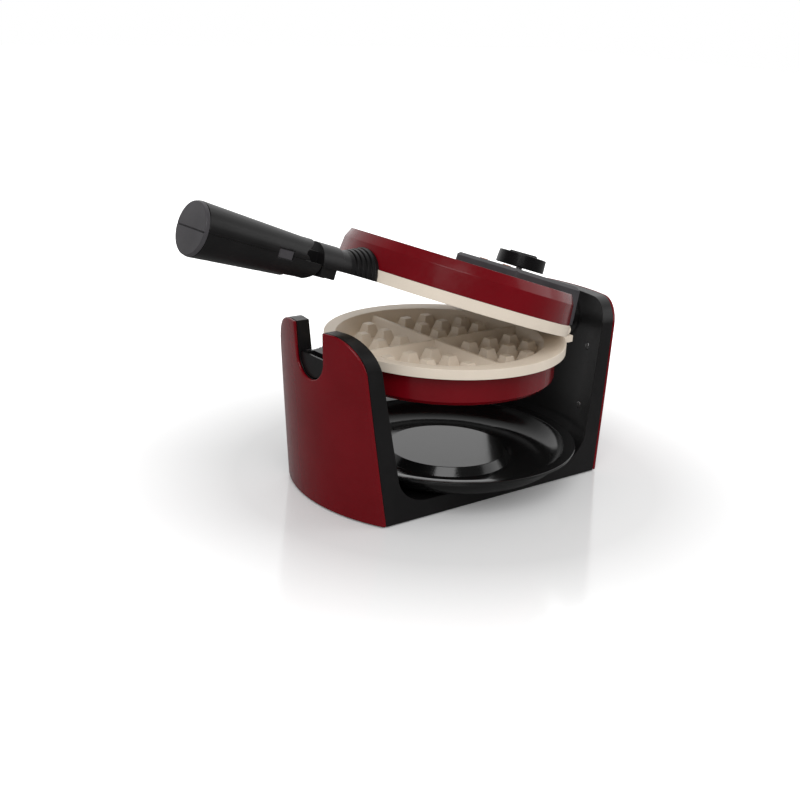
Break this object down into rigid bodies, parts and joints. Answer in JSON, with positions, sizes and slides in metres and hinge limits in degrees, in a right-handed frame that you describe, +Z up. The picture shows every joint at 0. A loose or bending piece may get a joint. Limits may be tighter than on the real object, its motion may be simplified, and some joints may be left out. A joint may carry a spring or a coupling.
{
  "type": "rotary waffle maker",
  "caption": "Round waffle maker whose hinged two-plate iron turns over between two towers, with a folding handle, a temperature knob and a drip tray.",
  "frame": {"origin": "on the table, under the middle of the base", "axes": "+Z up, +X from the handle end towards the rear tower, +Y completes a right-handed frame"},
  "size_m": [0.4446, 0.244, 0.2805],
  "materials": {
    "red_shell": "gloss",
    "black_plastic": "satin",
    "grey_plastic": "satin",
    "knob_plastic": "gloss",
    "tray_gloss": "gloss",
    "cream_coating": "non-stick coating, satin",
    "steel": "plain",
    "reflector_metal": "bright",
    "ceramic": "matt",
    "rubber": "matt",
    "lens": "clear amber"
  },
  "bodies": {
    "base": {"base_frame": "black_plastic", "front_panel": "red_shell", "rear_panel": "red_shell", "panel_screws": "steel", "bottom_cover": "black_plastic", "cover_screws": "steel", "rubber_feet": "rubber", "front_bearing": "grey_plastic", "rear_bearing": "grey_plastic", "cord_gland": "rubber", "terminal_block": "ceramic"},
    "tray": {"drip_tray": "tray_gloss"},
    "iron": {"lower_housing": "red_shell", "lower_plate": "cream_coating", "lower_screws": "steel", "lower_element": "steel", "lower_reflector": "reflector_metal", "lower_terminals": "ceramic", "front_journal": "black_plastic", "rear_axle": "steel", "axle_clip": "steel"},
    "lid": {"hinge_pins": "steel", "lid_housing": "red_shell", "upper_plate": "cream_coating", "lid_screws": "steel", "upper_element": "steel", "upper_reflector": "reflector_metal", "upper_terminals": "ceramic", "thermostat": "ceramic", "control_cover": "grey_plastic", "indicator_lenses": "lens", "handle_neck": "black_plastic", "fold_pin": "steel"},
    "knob": {"temperature_knob": "knob_plastic", "knob_shaft": "steel"},
    "grip": {"grip_upper": "black_plastic", "grip_lower": "black_plastic", "grip_cap": "grey_plastic", "grip_screws": "steel", "button_spring": "steel"},
    "button": {"release_button": "grey_plastic"}
  },
  "joints": [
    {"name": "iron_flip", "type": "hinge", "parent": "base", "child": "iron", "pos_m": [0, 0, 0.1395], "axis": [1, 0, 0], "range_deg": [0, 90]},
    {"name": "lid_open", "type": "hinge", "parent": "iron", "child": "lid", "pos_m": [0.0875, 0, 0.145], "axis": [0, -1, 0], "range_deg": [-39.8, 18.2]},
    {"name": "knob_turn", "type": "hinge", "parent": "lid", "child": "knob", "pos_m": [0.07813, 0, 0.19334], "axis": [0.3123, 0, 0.95], "range_deg": [0, 270]},
    {"name": "handle_fold", "type": "hinge", "parent": "lid", "child": "grip", "pos_m": [-0.17747, 0, 0.22738], "axis": [0, -1, 0], "range_deg": [0, 90]},
    {"name": "button_press", "type": "slide", "parent": "grip", "child": "button", "axis": [0, 1, 0], "range_m": [0, 0.0025], "stiffness_N_per_m": 600, "springref_m": -0.001, "deforming": ["button_spring"]},
    {"name": "tray_lift", "type": "slide", "parent": "base", "child": "tray", "axis": [0, 0, -1], "range_m": [-0.03, 0]}
  ]
}
